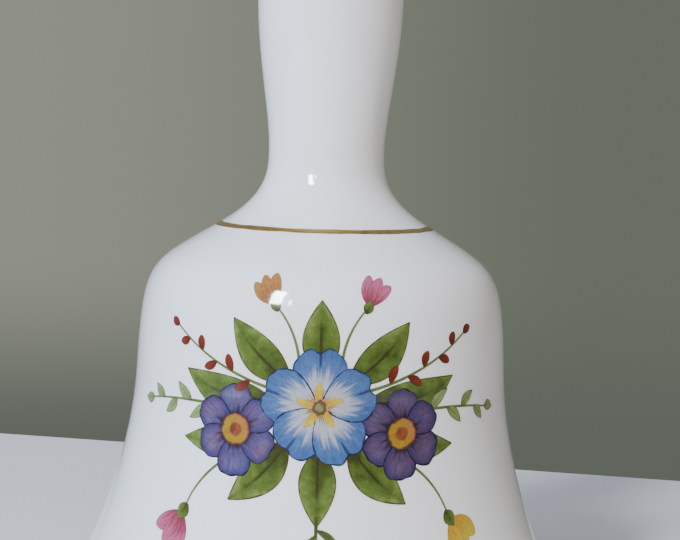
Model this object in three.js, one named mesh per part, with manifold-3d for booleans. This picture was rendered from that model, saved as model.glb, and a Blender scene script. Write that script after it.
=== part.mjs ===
// A small porcelain hand bell: a flared cup, a hollow handle luted to its crown, gilt lines,
// and a bead clapper that hangs on brass wire from a plug in the crown.
// Millimetres, +Z up. The origin is the centre of the flat ring that the rim stands on.
import * as THREE from "three";
import { mergeVertices } from "three/addons/utils/BufferGeometryUtils.js";
import Module from "manifold-3d";

const wasm = await Module();
wasm.setup();

// ---- Driving dimensions ----

// Outside of the cup, from the rim up to the crease where the handle's foot sits on the crown.
const RIM_RADIUS = 39;
const RIM_WIDEST_Z = 0.9;
const WAIST_RADIUS = 28.4;
const WAIST_Z = 34.8;
const CREASE_RADIUS = 16.3;
const CREASE_Z = 57.7;
const CUP_WALL = 2.8;

// Bezier handles of the flare and the shoulder, from the waist or from the crease.
const FLARE_LOW = { out: 3.05, z: 13 };
const FLARE_HIGH = { out: 0.3, down: 7.5 };
const SHOULDER_RISE = { in: 0.8, up: 17.3 };
const SHOULDER_FALL = { out: 11, down: 6.7 };

// The rim stands on a flat ring between these two radii, with a rounded edge on both sides.
const REST_INNER_RADIUS = 37.1;
const REST_OUTER_RADIUS = 38.1;
const LIP_ROUND_Z = 0.27;
const LIP_ROUND_OUT = 0.27;
const LIP_ROUND_IN = 0.2;

// Outside of the handle.
const NECK_RADIUS = 8.9;
const NECK_Z = 69.3;
const GRIP_RADIUS = 11.2;
const GRIP_Z = 94;
const TOP_Z = 111;
const HANDLE_WALL = 3;
const FOOT_FALL = 4.3;
const FOOT_RISE = 3.5;
const GRIP_RISE = 5.6;
const GRIP_FALL = 10.7;
const LUTE_GAP = 0.05;

// Gilt lines: half of the painted width, the film's thickness, and its gap to the glaze.
const GILT_HALF_WIDTH = 0.6;
const GILT_THICKNESS = 0.08;
const GILT_GAP = 0.03;
const GILT_SHOULDER_SHARE = 0.3;
const RIM_LINE_Z = 2.4;

// Plug in the crown, with its cement and washer.
const CROWN_HOLE_RADIUS = 6;
const PLUG_TOP_RADIUS = 4.9;
const PLUG_BOTTOM_RADIUS = 5.1;
const PLUG_BOTTOM_Z = 53.6;
const PLUG_TOP_Z = 60.6;
const CEMENT_COLLAR_RADIUS = 7.4;
const CEMENT_DROP = 1;
const CEMENT_FOOT = 0.9;
const CEMENT_GAP = 0.1;
const CEMENT_LIP = 0.2;
const PLUG_CHAMFER = 0.4;
const WASHER_RADIUS = 3.2;
const WASHER_THICKNESS = 0.5;
const WASHER_CHAMFER = 0.1;
const FIT_GAP = 0.05;

// Brass wire: the hanger's eye and the clapper's stem have rings of the same size.
const WIRE_RADIUS = 0.6;
const RING_RADIUS = 1.9;
const EYE_CENTRE_Z = 51;
const RING_PLAY = 0.1;
const PIN_BORE_RADIUS = 0.66;
const PIN_HEAD_RADIUS = 1.5;
const PIN_HEAD_THICKNESS = 0.6;
const PIN_HEAD_TAPER = 0.3;
const PIN_HEAD_SINK = 0.2;

// Clapper bead, and the crimp under it.
const BEAD_RADIUS = 6.5;
const BEAD_CENTRE_Z = 16;
const BEAD_BORE_RADIUS = 0.95;
const CRIMP_RADIUS = 1.8;
const CRIMP_HEIGHT = 1.8;
const CRIMP_CHAMFER = 0.5;
const CRIMP_GAP = 0.2;
const STEM_END_Z = 7;

// Steps round a turned piece, round a wire and along each profile.
const CUP_SEGMENTS = 48;
const SMALL_SEGMENTS = 32;
const WIRE_SIDES = 10;
const BEAD_STEPS = 14;
const CUP_OUTSIDE_STEPS = [10, 9];
const CUP_INSIDE_STEPS = [7, 7];
const HANDLE_OUTSIDE_STEPS = [7, 6, 7];
const HANDLE_INSIDE_STEPS = [8, 5, 5];

// ---- Finishes ----

const finish = (color, roughness, metalness) =>
  new THREE.MeshStandardMaterial({ color, roughness, metalness });

const glaze = finish(0xe9e8ec, 0.12, 0);
const gilt = finish(0xb8924a, 0.28, 1);
const brass = finish(0xb99a55, 0.35, 1);
const cork = finish(0xb58a5c, 0.9, 0);
const plaster = finish(0xd9d4c8, 0.85, 0);

// ---- Helpers ----

const point = (radius, z) => new THREE.Vector2(radius, z);

// Merges shared vertices, keeps positions only, and drops triangles that have no area.
function cleaned(geometry) {
  const plain = geometry.clone();
  plain.deleteAttribute("normal");
  plain.deleteAttribute("uv");
  const merged = mergeVertices(plain, 1e-4);
  const index = merged.index.array;
  const kept = [];
  for (let i = 0; i < index.length; i += 3) {
    const corners = [index[i], index[i + 1], index[i + 2]];
    if (new Set(corners).size === 3) kept.push(...corners);
  }
  merged.setIndex(kept);
  merged.computeVertexNormals();
  return merged;
}

// Turns a profile of (radius, z) points round the Z axis. A profile that doesn't begin and end
// on the axis is closed back to its first point.
function turned(profile, segments) {
  const closed = [...profile];
  if (profile[0].x > 0) closed.push(profile[0].clone());
  const lathe = new THREE.LatheGeometry(closed, segments);
  lathe.rotateX(Math.PI / 2);
  return cleaned(lathe);
}

function solid(geometry) {
  const vertProperties = geometry.attributes.position.array;
  const triVerts = new Uint32Array(geometry.index.array);
  return new wasm.Manifold(new wasm.Mesh({ numProp: 3, vertProperties, triVerts }));
}

// Joins closed geometries into one body.
function joined(...geometries) {
  const whole = geometries.map(solid).reduce((a, b) => a.add(b));
  const { vertProperties, triVerts } = whole.getMesh();
  const geometry = new THREE.BufferGeometry();
  geometry.setAttribute("position", new THREE.BufferAttribute(vertProperties, 3));
  geometry.setIndex(new THREE.BufferAttribute(triVerts, 1));
  geometry.computeVertexNormals();
  return geometry;
}

function part(name, geometry, material) {
  const mesh = new THREE.Mesh(geometry, material);
  mesh.name = name;
  return mesh;
}

function curve(start, startHandle, endHandle, end, steps) {
  return new THREE.CubicBezierCurve(start, startHandle, endHandle, end).getPoints(steps);
}

// Joins runs of points end to end, leaving out each repeated meeting point.
function chained(...runs) {
  return runs.flatMap((run, i) => (i === 0 ? run : run.slice(1)));
}

// Moves an outside profile, listed from the bottom up, inwards by the wall's thickness.
function inset(profile, wall) {
  return profile.map((p, i) => {
    const before = profile[Math.max(i - 1, 0)];
    const after = profile[Math.min(i + 1, profile.length - 1)];
    const along = after.clone().sub(before).normalize();
    const onAxis = p.x === 0;
    const inward = onAxis ? point(0, -1) : point(-along.y, along.x);
    return p.clone().addScaledVector(inward, wall);
  });
}

// Keeps the part of an upward profile above a level, ending exactly on that level.
function above(profile, z) {
  const first = profile.findIndex((p) => p.y > z);
  const low = profile[Math.max(first - 1, 0)];
  const high = profile[first];
  const crossing = low.clone().lerp(high, (z - low.y) / (high.y - low.y));
  return [crossing, ...profile.slice(first)];
}

// ---- Profiles ----

// The flare from the rim to the waist, then the round shoulder up to the crease.
function cupOutside([flareSteps, shoulderSteps]) {
  const rim = point(RIM_RADIUS, RIM_WIDEST_Z);
  const waist = point(WAIST_RADIUS, WAIST_Z);
  const crease = point(CREASE_RADIUS, CREASE_Z);
  const flareLow = point(WAIST_RADIUS + FLARE_LOW.out, FLARE_LOW.z);
  const flareHigh = point(WAIST_RADIUS + FLARE_HIGH.out, WAIST_Z - FLARE_HIGH.down);
  const shoulderRise = point(WAIST_RADIUS - SHOULDER_RISE.in, WAIST_Z + SHOULDER_RISE.up);
  const shoulderFall = point(CREASE_RADIUS + SHOULDER_FALL.out, CREASE_Z - SHOULDER_FALL.down);
  return chained(
    curve(rim, flareLow, flareHigh, waist, flareSteps),
    curve(waist, shoulderRise, shoulderFall, crease, shoulderSteps),
  );
}

// The concave foot, the swelling grip and the domed top.
function handleOutside([footSteps, gripSteps, domeSteps]) {
  const footZ = CREASE_Z + LUTE_GAP;
  const neck = point(NECK_RADIUS, NECK_Z);
  const grip = point(GRIP_RADIUS, GRIP_Z);
  const footFall = point(NECK_RADIUS, footZ + FOOT_FALL);
  const footRise = point(NECK_RADIUS, NECK_Z - FOOT_RISE);
  const gripRise = point(NECK_RADIUS, NECK_Z + GRIP_RISE);
  const gripFall = point(GRIP_RADIUS, GRIP_Z - GRIP_FALL);
  const ellipse = new THREE.EllipseCurve(0, GRIP_Z, GRIP_RADIUS, TOP_Z - GRIP_Z, 0, Math.PI / 2);
  const dome = ellipse.getPoints(domeSteps);
  dome[domeSteps] = point(0, TOP_Z);
  return chained(
    curve(point(CREASE_RADIUS, footZ), footFall, footRise, neck, footSteps),
    curve(neck, gripRise, gripFall, grip, gripSteps),
    dome,
  );
}

// ---- Bell: the pieces that don't move ----

function bellCup() {
  const outside = cupOutside(CUP_OUTSIDE_STEPS);
  const inside = above(inset(cupOutside(CUP_INSIDE_STEPS), CUP_WALL), RIM_WIDEST_Z);
  const crownUnderside = inside[inside.length - 1].y;
  const lowInside = inside[0];
  const profile = [
    point(REST_OUTER_RADIUS, 0),
    point(RIM_RADIUS - LIP_ROUND_OUT, LIP_ROUND_Z),
    ...outside,
    point(CROWN_HOLE_RADIUS, CREASE_Z),
    point(CROWN_HOLE_RADIUS, crownUnderside),
    ...inside.reverse(),
    point(lowInside.x + LIP_ROUND_IN, LIP_ROUND_Z),
    point(REST_INNER_RADIUS, 0),
  ];
  return part("bell_cup", turned(profile, CUP_SEGMENTS), glaze);
}

function handle() {
  const outside = handleOutside(HANDLE_OUTSIDE_STEPS);
  const inside = above(inset(handleOutside(HANDLE_INSIDE_STEPS), HANDLE_WALL), CREASE_Z + LUTE_GAP);
  return part("handle", turned([...inside.reverse(), ...outside], CUP_SEGMENTS), glaze);
}

// A painted line: a low rounded film on the outside of a turned wall. The path holds three
// profile points, its lower edge, its middle and its upper edge, listed from the bottom up.
function giltLine(name, path) {
  const under = inset(path, -GILT_GAP);
  const [low, middle, high] = inset(path, -GILT_GAP - GILT_THICKNESS);
  low.lerp(middle, GILT_SHOULDER_SHARE);
  high.lerp(middle, GILT_SHOULDER_SHARE);
  const film = [under[0], low, middle, high, under[2], under[1]];
  return part(name, turned(film, CUP_SEGMENTS), gilt);
}

function giltShoulderLine() {
  const crease = point(CREASE_RADIUS, CREASE_Z + LUTE_GAP / 2);
  const shoulder = cupOutside(CUP_OUTSIDE_STEPS).at(-2);
  const foot = handleOutside(HANDLE_OUTSIDE_STEPS)[1];
  const down = shoulder.sub(crease).setLength(GILT_HALF_WIDTH).add(crease);
  const up = foot.sub(crease).setLength(GILT_HALF_WIDTH).add(crease);
  return giltLine("gilt_shoulder_line", [down, crease, up]);
}

function giltRimLine() {
  const rim = cupOutside(CUP_OUTSIDE_STEPS);
  const slope = rim[1].clone().sub(rim[0]).normalize();
  const centre = rim[0].clone().addScaledVector(slope, RIM_LINE_Z - RIM_WIDEST_Z);
  const low = centre.clone().addScaledVector(slope, -GILT_HALF_WIDTH);
  const high = centre.clone().addScaledVector(slope, GILT_HALF_WIDTH);
  return giltLine("gilt_rim_line", [low, centre, high]);
}

// A tapered cork in the crown's hole, bored for the hanger's pin.
function hangerPlug() {
  const profile = [
    point(PIN_BORE_RADIUS, PLUG_BOTTOM_Z),
    point(PLUG_BOTTOM_RADIUS - PLUG_CHAMFER, PLUG_BOTTOM_Z),
    point(PLUG_BOTTOM_RADIUS, PLUG_BOTTOM_Z + PLUG_CHAMFER),
    point(PLUG_TOP_RADIUS, PLUG_TOP_Z - PLUG_CHAMFER),
    point(PLUG_TOP_RADIUS - PLUG_CHAMFER, PLUG_TOP_Z),
    point(PIN_BORE_RADIUS, PLUG_TOP_Z),
  ];
  return part("hanger_plug", turned(profile, SMALL_SEGMENTS), cork);
}

// Plaster between the cork and the hole, with a collar under the crown.
function plugCement() {
  const inner = PLUG_BOTTOM_RADIUS + FIT_GAP;
  const outer = CROWN_HOLE_RADIUS - CEMENT_GAP;
  const underside = inset(cupOutside(CUP_INSIDE_STEPS), CUP_WALL).at(-1).y - FIT_GAP;
  const profile = [
    point(inner, underside - CEMENT_DROP),
    point(inner + CEMENT_FOOT, underside - CEMENT_DROP + CEMENT_GAP),
    point(CEMENT_COLLAR_RADIUS, underside - CEMENT_LIP),
    point(CEMENT_COLLAR_RADIUS, underside),
    point(outer, underside),
    point(outer, CREASE_Z - FIT_GAP),
    point(inner, CREASE_Z - FIT_GAP),
  ];
  return part("plug_cement", turned(profile, SMALL_SEGMENTS), plaster);
}

function washerBottom() {
  return PLUG_TOP_Z + FIT_GAP;
}

function hangerWasher() {
  const low = washerBottom();
  const high = low + WASHER_THICKNESS;
  const profile = [
    point(PIN_BORE_RADIUS, low),
    point(WASHER_RADIUS, low),
    point(WASHER_RADIUS, high - WASHER_CHAMFER),
    point(WASHER_RADIUS - WASHER_CHAMFER, high),
    point(PIN_BORE_RADIUS, high),
  ];
  return part("hanger_washer", turned(profile, SMALL_SEGMENTS), brass);
}

// ---- Hanger: an eye on a headed pin that turns in the plug ----

// A round wire ring with a straight wire that runs along Z, from the ring to the given height.
function ringOnStem(ringZ, turnRing, stemFrom, stemTo) {
  const ring = new THREE.TorusGeometry(RING_RADIUS, WIRE_RADIUS, WIRE_SIDES, SMALL_SEGMENTS);
  turnRing(ring);
  ring.translate(0, 0, ringZ);
  const stem = new THREE.CylinderGeometry(WIRE_RADIUS, WIRE_RADIUS, stemTo - stemFrom, WIRE_SIDES);
  stem.rotateX(Math.PI / 2);
  stem.translate(0, 0, (stemFrom + stemTo) / 2);
  return [cleaned(ring), cleaned(stem)];
}

function hangerEye() {
  const headBottom = washerBottom() + WASHER_THICKNESS + FIT_GAP;
  const head = new THREE.CylinderGeometry(
    PIN_HEAD_RADIUS - PIN_HEAD_TAPER, PIN_HEAD_RADIUS, PIN_HEAD_THICKNESS, 2 * WIRE_SIDES,
  );
  head.rotateX(Math.PI / 2);
  head.translate(0, 0, headBottom + PIN_HEAD_THICKNESS / 2);
  const ringTop = EYE_CENTRE_Z + RING_RADIUS;
  const pinTop = headBottom + PIN_HEAD_SINK;
  const wire = ringOnStem(EYE_CENTRE_Z, (ring) => ring.rotateY(Math.PI / 2), ringTop, pinTop);
  return part("hanger_eye", joined(...wire, cleaned(head)), brass);
}

// ---- Clapper: the stem hooks through the eye and carries a bead that is free to spin ----

// The stem's ring hangs on the eye, so the clapper swings about the top of that ring.
const PIVOT_Z = EYE_CENTRE_Z - RING_RADIUS + 2 * WIRE_RADIUS + RING_PLAY;

function clapperWire() {
  const ringZ = PIVOT_Z - RING_RADIUS;
  const ringBottom = ringZ - RING_RADIUS;
  const wire = ringOnStem(ringZ, (ring) => ring.rotateX(Math.PI / 2), STEM_END_Z, ringBottom);
  return part("clapper_wire", joined(...wire), brass);
}

function clapperBead() {
  const poleAngle = Math.asin(BEAD_BORE_RADIUS / BEAD_RADIUS);
  const profile = Array.from({ length: BEAD_STEPS + 1 }, (_, i) => {
    const angle = poleAngle + (Math.PI - 2 * poleAngle) * (i / BEAD_STEPS);
    return point(BEAD_RADIUS * Math.sin(angle), BEAD_CENTRE_Z - BEAD_RADIUS * Math.cos(angle));
  });
  return part("clapper_bead", turned(profile, SMALL_SEGMENTS), glaze);
}

function clapperCrimp() {
  const high = BEAD_CENTRE_Z - BEAD_RADIUS - CRIMP_GAP;
  const low = high - CRIMP_HEIGHT;
  const bore = WIRE_RADIUS + FIT_GAP;
  const profile = [
    point(bore, low),
    point(CRIMP_RADIUS - CRIMP_CHAMFER, low),
    point(CRIMP_RADIUS, low + CRIMP_CHAMFER),
    point(CRIMP_RADIUS, high - CRIMP_CHAMFER),
    point(CRIMP_RADIUS - CRIMP_CHAMFER, high),
    point(bore, high),
  ];
  return part("clapper_crimp", turned(profile, SMALL_SEGMENTS / 2), brass);
}

// ---- Assembly ----

const bell = new THREE.Group();
bell.add(bellCup(), handle(), giltShoulderLine(), giltRimLine());
bell.add(hangerPlug(), plugCement(), hangerWasher());

const hanger = new THREE.Group();
hanger.add(hangerEye());

const clapper = new THREE.Group();
clapper.add(clapperWire(), clapperBead(), clapperCrimp());

hanger.add(clapper);
bell.add(hanger);

export default bell;
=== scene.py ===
import math

import bpy
import numpy as np
from mathutils import Euler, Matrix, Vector, noise


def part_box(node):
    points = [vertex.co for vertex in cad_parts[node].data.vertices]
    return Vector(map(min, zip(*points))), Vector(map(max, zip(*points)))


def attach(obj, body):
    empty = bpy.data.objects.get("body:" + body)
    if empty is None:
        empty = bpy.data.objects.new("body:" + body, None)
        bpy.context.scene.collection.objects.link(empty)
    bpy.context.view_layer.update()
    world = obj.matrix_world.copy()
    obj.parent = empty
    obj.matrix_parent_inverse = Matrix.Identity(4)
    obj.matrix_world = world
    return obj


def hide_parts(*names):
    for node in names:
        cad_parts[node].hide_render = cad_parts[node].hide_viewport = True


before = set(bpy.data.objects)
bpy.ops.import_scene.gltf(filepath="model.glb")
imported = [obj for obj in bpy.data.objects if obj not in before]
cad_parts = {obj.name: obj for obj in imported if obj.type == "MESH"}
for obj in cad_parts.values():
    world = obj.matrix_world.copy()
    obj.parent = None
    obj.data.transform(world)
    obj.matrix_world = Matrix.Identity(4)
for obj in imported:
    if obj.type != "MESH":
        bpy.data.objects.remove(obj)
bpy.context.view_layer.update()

MM = 0.001

# ---- Camera ----

CAMERA_DISTANCE = 0.300
CAMERA_HEIGHT = 0.0755
CAMERA_PITCH = math.radians(4.71)
CAMERA_ROLL = math.radians(1.71)
CAMERA_YAW = math.radians(0.49)
LENS_MM = 103.2
SENSOR_MM = 36.0


def add_camera():
    data = bpy.data.cameras.new("camera")
    data.sensor_width = SENSOR_MM
    data.lens = LENS_MM
    data.clip_start = 0.01
    camera = bpy.data.objects.new("camera", data)
    bpy.context.scene.collection.objects.link(camera)
    camera.location = (0, -CAMERA_DISTANCE, CAMERA_HEIGHT)
    look = Euler((math.pi / 2 - CAMERA_PITCH, 0, -CAMERA_YAW)).to_matrix()
    lean = Euler((0, 0, CAMERA_ROLL)).to_matrix()
    camera.rotation_euler = (look @ lean).to_euler()
    bpy.context.scene.camera = camera


add_camera()

# ---- Dimensions, from the frame where the frame gives them ----

cup_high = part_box("bell_cup")[1]
handle_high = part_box("handle")[1]
RIM_RADIUS = cup_high.x
CREASE_Z = cup_high.z
CREASE_RADIUS = handle_high.x
TOP_Z = handle_high.z
CUP_WALL = 2.8 * MM
HANDLE_WALL = 3 * MM
CROWN_HOLE_RADIUS = 6 * MM
LIP_OUTER_ROUND = 0.9 * MM
LIP_INNER_ROUND = 1.1 * MM
WAIST = (28.4 * MM, 34.8 * MM)
NECK = (8.9 * MM, 69.3 * MM)
GRIP = (11.2 * MM, 94 * MM)

# Bezier handles of the outline, from the waist, the crease or the neck.

FLARE_LOW = (WAIST[0] + 3.05 * MM, 13 * MM)
FLARE_HIGH = (WAIST[0] + 0.3 * MM, WAIST[1] - 7.5 * MM)
SHOULDER_RISE = (WAIST[0] - 0.8 * MM, WAIST[1] + 17.3 * MM)
SHOULDER_FALL = (CREASE_RADIUS + 11 * MM, CREASE_Z - 6.7 * MM)
FOOT_FALL = (NECK[0], CREASE_Z + 4.35 * MM)
FOOT_RISE = (NECK[0], NECK[1] - 3.5 * MM)
GRIP_RISE = (NECK[0], NECK[1] + 5.6 * MM)
GRIP_FALL = (GRIP[0], GRIP[1] - 10.7 * MM)


def cubic(start, start_handle, end_handle, end, steps):
    t = np.linspace(0, 1, steps + 1)[:, None]
    a, b, c, d = (np.array(p, float) for p in (start, start_handle, end_handle, end))
    return (1 - t) ** 3 * a + 3 * (1 - t) ** 2 * t * b + 3 * (1 - t) * t * t * c + t ** 3 * d


def arc(centre, radius, start, end, steps):
    a = np.radians(np.linspace(start, end, steps + 1))
    return np.stack([centre[0] + radius * np.cos(a), centre[1] + radius * np.sin(a)], 1)


def cup_outside():
    flare = cubic((RIM_RADIUS, LIP_OUTER_ROUND), FLARE_LOW, FLARE_HIGH, WAIST, 70)
    shoulder = cubic(WAIST, SHOULDER_RISE, SHOULDER_FALL, (CREASE_RADIUS, CREASE_Z), 70)
    return np.vstack([flare, shoulder[1:]])


def handle_outside():
    foot = cubic((CREASE_RADIUS, CREASE_Z), FOOT_FALL, FOOT_RISE, NECK, 40)
    grip = cubic(NECK, GRIP_RISE, GRIP_FALL, GRIP, 40)
    a = np.linspace(0, math.pi / 2, 41)
    dome = np.stack([GRIP[0] * np.cos(a), GRIP[1] + (TOP_Z - GRIP[1]) * np.sin(a)], 1)
    dome[-1, 0] = 0
    return np.vstack([foot, grip[1:], dome[1:]])


def normals_of(profile):
    along = np.gradient(profile, axis=0)
    along /= np.hypot(along[:, 0], along[:, 1])[:, None]
    return np.stack([along[:, 1], -along[:, 0]], 1)


CUP = cup_outside()
CUP_NORMALS = normals_of(CUP)

# ---- Mesh helpers ----


def add_mesh(name, vertices, faces, sharp_degrees=40, attributes=None):
    mesh = bpy.data.meshes.new(name)
    mesh.from_pydata([tuple(v) for v in vertices], [], faces)
    for key, values in (attributes or {}).items():
        layer = mesh.attributes.new(key, "FLOAT", "POINT")
        layer.data.foreach_set("value", np.asarray(values, np.float32).ravel())
    mesh.polygons.foreach_set("use_smooth", [True] * len(mesh.polygons))
    mesh.set_sharp_from_angle(angle=math.radians(sharp_degrees))
    mesh.validate()
    mesh.update()
    thing = bpy.data.objects.new(name, mesh)
    bpy.context.scene.collection.objects.link(thing)
    return thing


def lathe(name, profile, segments, sharp_degrees=40, wobble=None):
    """A closed solid turned from a profile that ends on the axis, or closes on itself."""
    profile = np.array(profile, float)
    on_axis = profile[:, 0] < 1e-9
    turns = np.linspace(0, 2 * math.pi, segments, endpoint=False)
    vertices, rings = [], []
    for (r, z), pole in zip(profile, on_axis):
        if pole:
            rings.append([len(vertices)] * segments)
            vertices.append((0, 0, z))
            continue
        rings.append(list(range(len(vertices), len(vertices) + segments)))
        for turn in turns:
            rr, zz = (r, z) if wobble is None else wobble(r, z, turn)
            vertices.append((rr * math.sin(turn), -rr * math.cos(turn), zz))
    pairs = list(zip(rings[:-1], rings[1:]))
    if not on_axis[0]:
        pairs.append((rings[-1], rings[0]))
    faces = []
    for low, high in pairs:
        for i in range(segments):
            j = (i + 1) % segments
            corners = [low[i], low[j], high[j], high[i]]
            face = list(dict.fromkeys(corners))
            if len(face) > 2:
                faces.append(face)
    return add_mesh(name, vertices, faces, sharp_degrees)


def tube(name, path, radius, sides=20, end_round=3):
    """A round wire along a path, with domed ends."""
    path = [Vector(p) for p in path]
    tangents = []
    for i in range(len(path)):
        before = path[max(i - 1, 0)]
        after = path[min(i + 1, len(path) - 1)]
        tangents.append((after - before).normalized())
    side = tangents[0].orthogonal().normalized()
    frames = []
    for p, t in zip(path, tangents):
        side = (side - t * side.dot(t)).normalized()
        frames.append((p, side.copy(), t.cross(side), radius))
    dome = [math.sin(math.pi / 2 * k / end_round) for k in range(1, end_round)]
    first = [(path[0] - tangents[0] * radius * 0.6 * math.sqrt(1 - d * d), d) for d in dome]
    last = [(path[-1] + tangents[-1] * radius * 0.6 * math.sqrt(1 - d * d), d) for d in dome]
    rows = [(c, frames[0][1], frames[0][2], radius * d) for c, d in first]
    rows += frames
    rows += [(c, frames[-1][1], frames[-1][2], radius * d) for c, d in reversed(last)]
    vertices, faces = [], []
    for centre, u, v, r in rows:
        for k in range(sides):
            a = 2 * math.pi * k / sides
            vertices.append(centre + u * (r * math.cos(a)) + v * (r * math.sin(a)))
    for row in range(len(rows) - 1):
        for k in range(sides):
            a, b = row * sides + k, row * sides + (k + 1) % sides
            faces.append([a, b, b + sides, a + sides])
    count = len(vertices)
    faces.append(list(reversed(range(sides))))
    faces.append(list(range(count - sides, count)))
    return add_mesh(name, vertices, faces, 60)


def place(thing, material, body, replaced=()):
    thing.data.materials.clear()
    thing.data.materials.append(material)
    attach(thing, body)
    if replaced:
        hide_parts(*replaced)
    return thing


# ---- Material helpers ----


def material_tree(name, colour, roughness, metallic=0.0):
    material = bpy.data.materials.new(name)
    material.use_nodes = True
    shader = material.node_tree.nodes["Principled BSDF"]
    shader.inputs["Base Color"].default_value = (*colour, 1)
    shader.inputs["Roughness"].default_value = roughness
    shader.inputs["Metallic"].default_value = metallic
    return material, material.node_tree, shader


def feed(tree, socket, value):
    if isinstance(value, bpy.types.NodeSocket):
        tree.links.new(value, socket)
    elif isinstance(value, tuple) and socket.type == "RGBA":
        socket.default_value = (*value, 1)
    else:
        socket.default_value = value


def attribute(tree, name):
    node = tree.nodes.new("ShaderNodeAttribute")
    node.attribute_name = name
    return node.outputs["Fac"]


def place_on(tree, stretch=(1, 1, 1)):
    """The point being shaded, in its own object's coordinates, each multiplied by its stretch."""
    coordinates = tree.nodes.new("ShaderNodeTexCoord")
    mapping = tree.nodes.new("ShaderNodeMapping")
    tree.links.new(coordinates.outputs["Object"], mapping.inputs["Vector"])
    mapping.inputs["Scale"].default_value = stretch
    return mapping.outputs["Vector"]


def vector_of(tree, x, y, z):
    node = tree.nodes.new("ShaderNodeCombineXYZ")
    for socket, value in zip(node.inputs, (x, y, z)):
        feed(tree, socket, value)
    return node.outputs["Vector"]


def noise_at(tree, vector, scale, detail=2.0, roughness=0.5):
    node = tree.nodes.new("ShaderNodeTexNoise")
    feed(tree, node.inputs["Vector"], vector)
    node.inputs["Scale"].default_value = scale
    node.inputs["Detail"].default_value = detail
    node.inputs["Roughness"].default_value = roughness
    return node.outputs["Fac"]


def maths(tree, operation, a, b=0.0, c=0.0):
    node = tree.nodes.new("ShaderNodeMath")
    node.operation = operation
    for socket, value in zip(node.inputs, (a, b, c)):
        feed(tree, socket, value)
    return node.outputs["Value"]


def smooth(tree, value, low, high, out_low=0.0, out_high=1.0):
    """A smooth step from out_low, where value is low, to out_high, where it is high."""
    node = tree.nodes.new("ShaderNodeMapRange")
    node.interpolation_type = "SMOOTHSTEP"
    for socket, amount in zip(node.inputs, (value, low, high, out_low, out_high)):
        feed(tree, socket, amount)
    return node.outputs["Result"]


def mixed(tree, amount, a, b):
    node = tree.nodes.new("ShaderNodeMix")
    node.data_type = "RGBA"
    feed(tree, node.inputs[0], amount)
    feed(tree, node.inputs[6], a)
    feed(tree, node.inputs[7], b)
    return node.outputs[2]


def bumped(tree, shader, height, distance, strength=1.0):
    node = tree.nodes.new("ShaderNodeBump")
    node.inputs["Strength"].default_value = strength
    node.inputs["Distance"].default_value = distance
    tree.links.new(height, node.inputs["Height"])
    tree.links.new(node.outputs["Normal"], shader.inputs["Normal"])


# ---- Materials of the china, the gilding and the fittings ----


def glossed(tree, shader, where, fine):
    """The clear gloss over china and print alike, with a faint wave in it."""
    shader.inputs["IOR"].default_value = 1.53
    shader.inputs["Coat Weight"].default_value = 0.5
    shader.inputs["Coat Roughness"].default_value = 0.03
    wave = maths(tree, "ADD", noise_at(tree, where, 75, 1), maths(tree, "MULTIPLY", fine, 0.035))
    bumped(tree, shader, wave, 0.09 * MM)


def china_material(name, cool, warm, speck_strength=0.35):
    """Bone china under a clear glaze: faint cloudiness, rare specks, and a slightly wavy gloss.

    The ring that stands on the kiln shelf, at the very bottom, is wiped bare of glaze.
    """
    material, tree, shader = material_tree(name, cool, 0.09)
    where = place_on(tree)
    cloud = noise_at(tree, where, 35, 3)
    body = mixed(tree, smooth(tree, cloud, 0.35, 0.68), cool, warm)
    speck = smooth(tree, noise_at(tree, where, 900, 1), 0.845, 0.88, 0.0, speck_strength)
    body = mixed(tree, speck, body, (0.30, 0.24, 0.18))
    split = tree.nodes.new("ShaderNodeSeparateXYZ")
    feed(tree, split.inputs["Vector"], where)
    bare = smooth(tree, split.outputs["Z"], 0.05 * MM, 0.25 * MM, 1.0, 0.0)
    feed(tree, shader.inputs["Base Color"], mixed(tree, bare, body, (0.70, 0.655, 0.59)))
    fine = noise_at(tree, where, 700, 2)
    gloss = smooth(tree, fine, 0.3, 0.7, 0.055, 0.11)
    feed(tree, shader.inputs["Roughness"], maths(tree, "ADD", gloss, maths(tree, "MULTIPLY", bare, 0.6)))
    shader.inputs["Subsurface Weight"].default_value = 0.12
    shader.inputs["Subsurface Radius"].default_value = (1.0, 0.9, 0.75)
    shader.inputs["Subsurface Scale"].default_value = 1.2 * MM
    glossed(tree, shader, where, fine)
    return material


def gilding_material():
    """Burnished gold brushed on by hand: fine streaks along the stroke, and thin patches."""
    material, tree, shader = material_tree("gilding", (0.55, 0.36, 0.13), 0.3, 1.0)
    stroke = attribute(tree, "stroke")
    across = attribute(tree, "across")
    streak = noise_at(tree, vector_of(tree, maths(tree, "MULTIPLY", stroke, 0.25), across, 0.0), 3.0, 3)
    patch = noise_at(tree, place_on(tree), 420, 2)
    gold = mixed(tree, smooth(tree, streak, 0.3, 0.7), (0.33, 0.205, 0.050), (0.52, 0.345, 0.095))
    thin = smooth(tree, patch, 0.6, 0.75, 0.0, 0.45)
    feed(tree, shader.inputs["Base Color"], mixed(tree, thin, gold, (0.22, 0.13, 0.05)))
    feed(tree, shader.inputs["Roughness"], smooth(tree, streak, 0.2, 0.8, 0.26, 0.5))
    bumped(tree, shader, streak, 0.02 * MM, 0.6)
    return material


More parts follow.
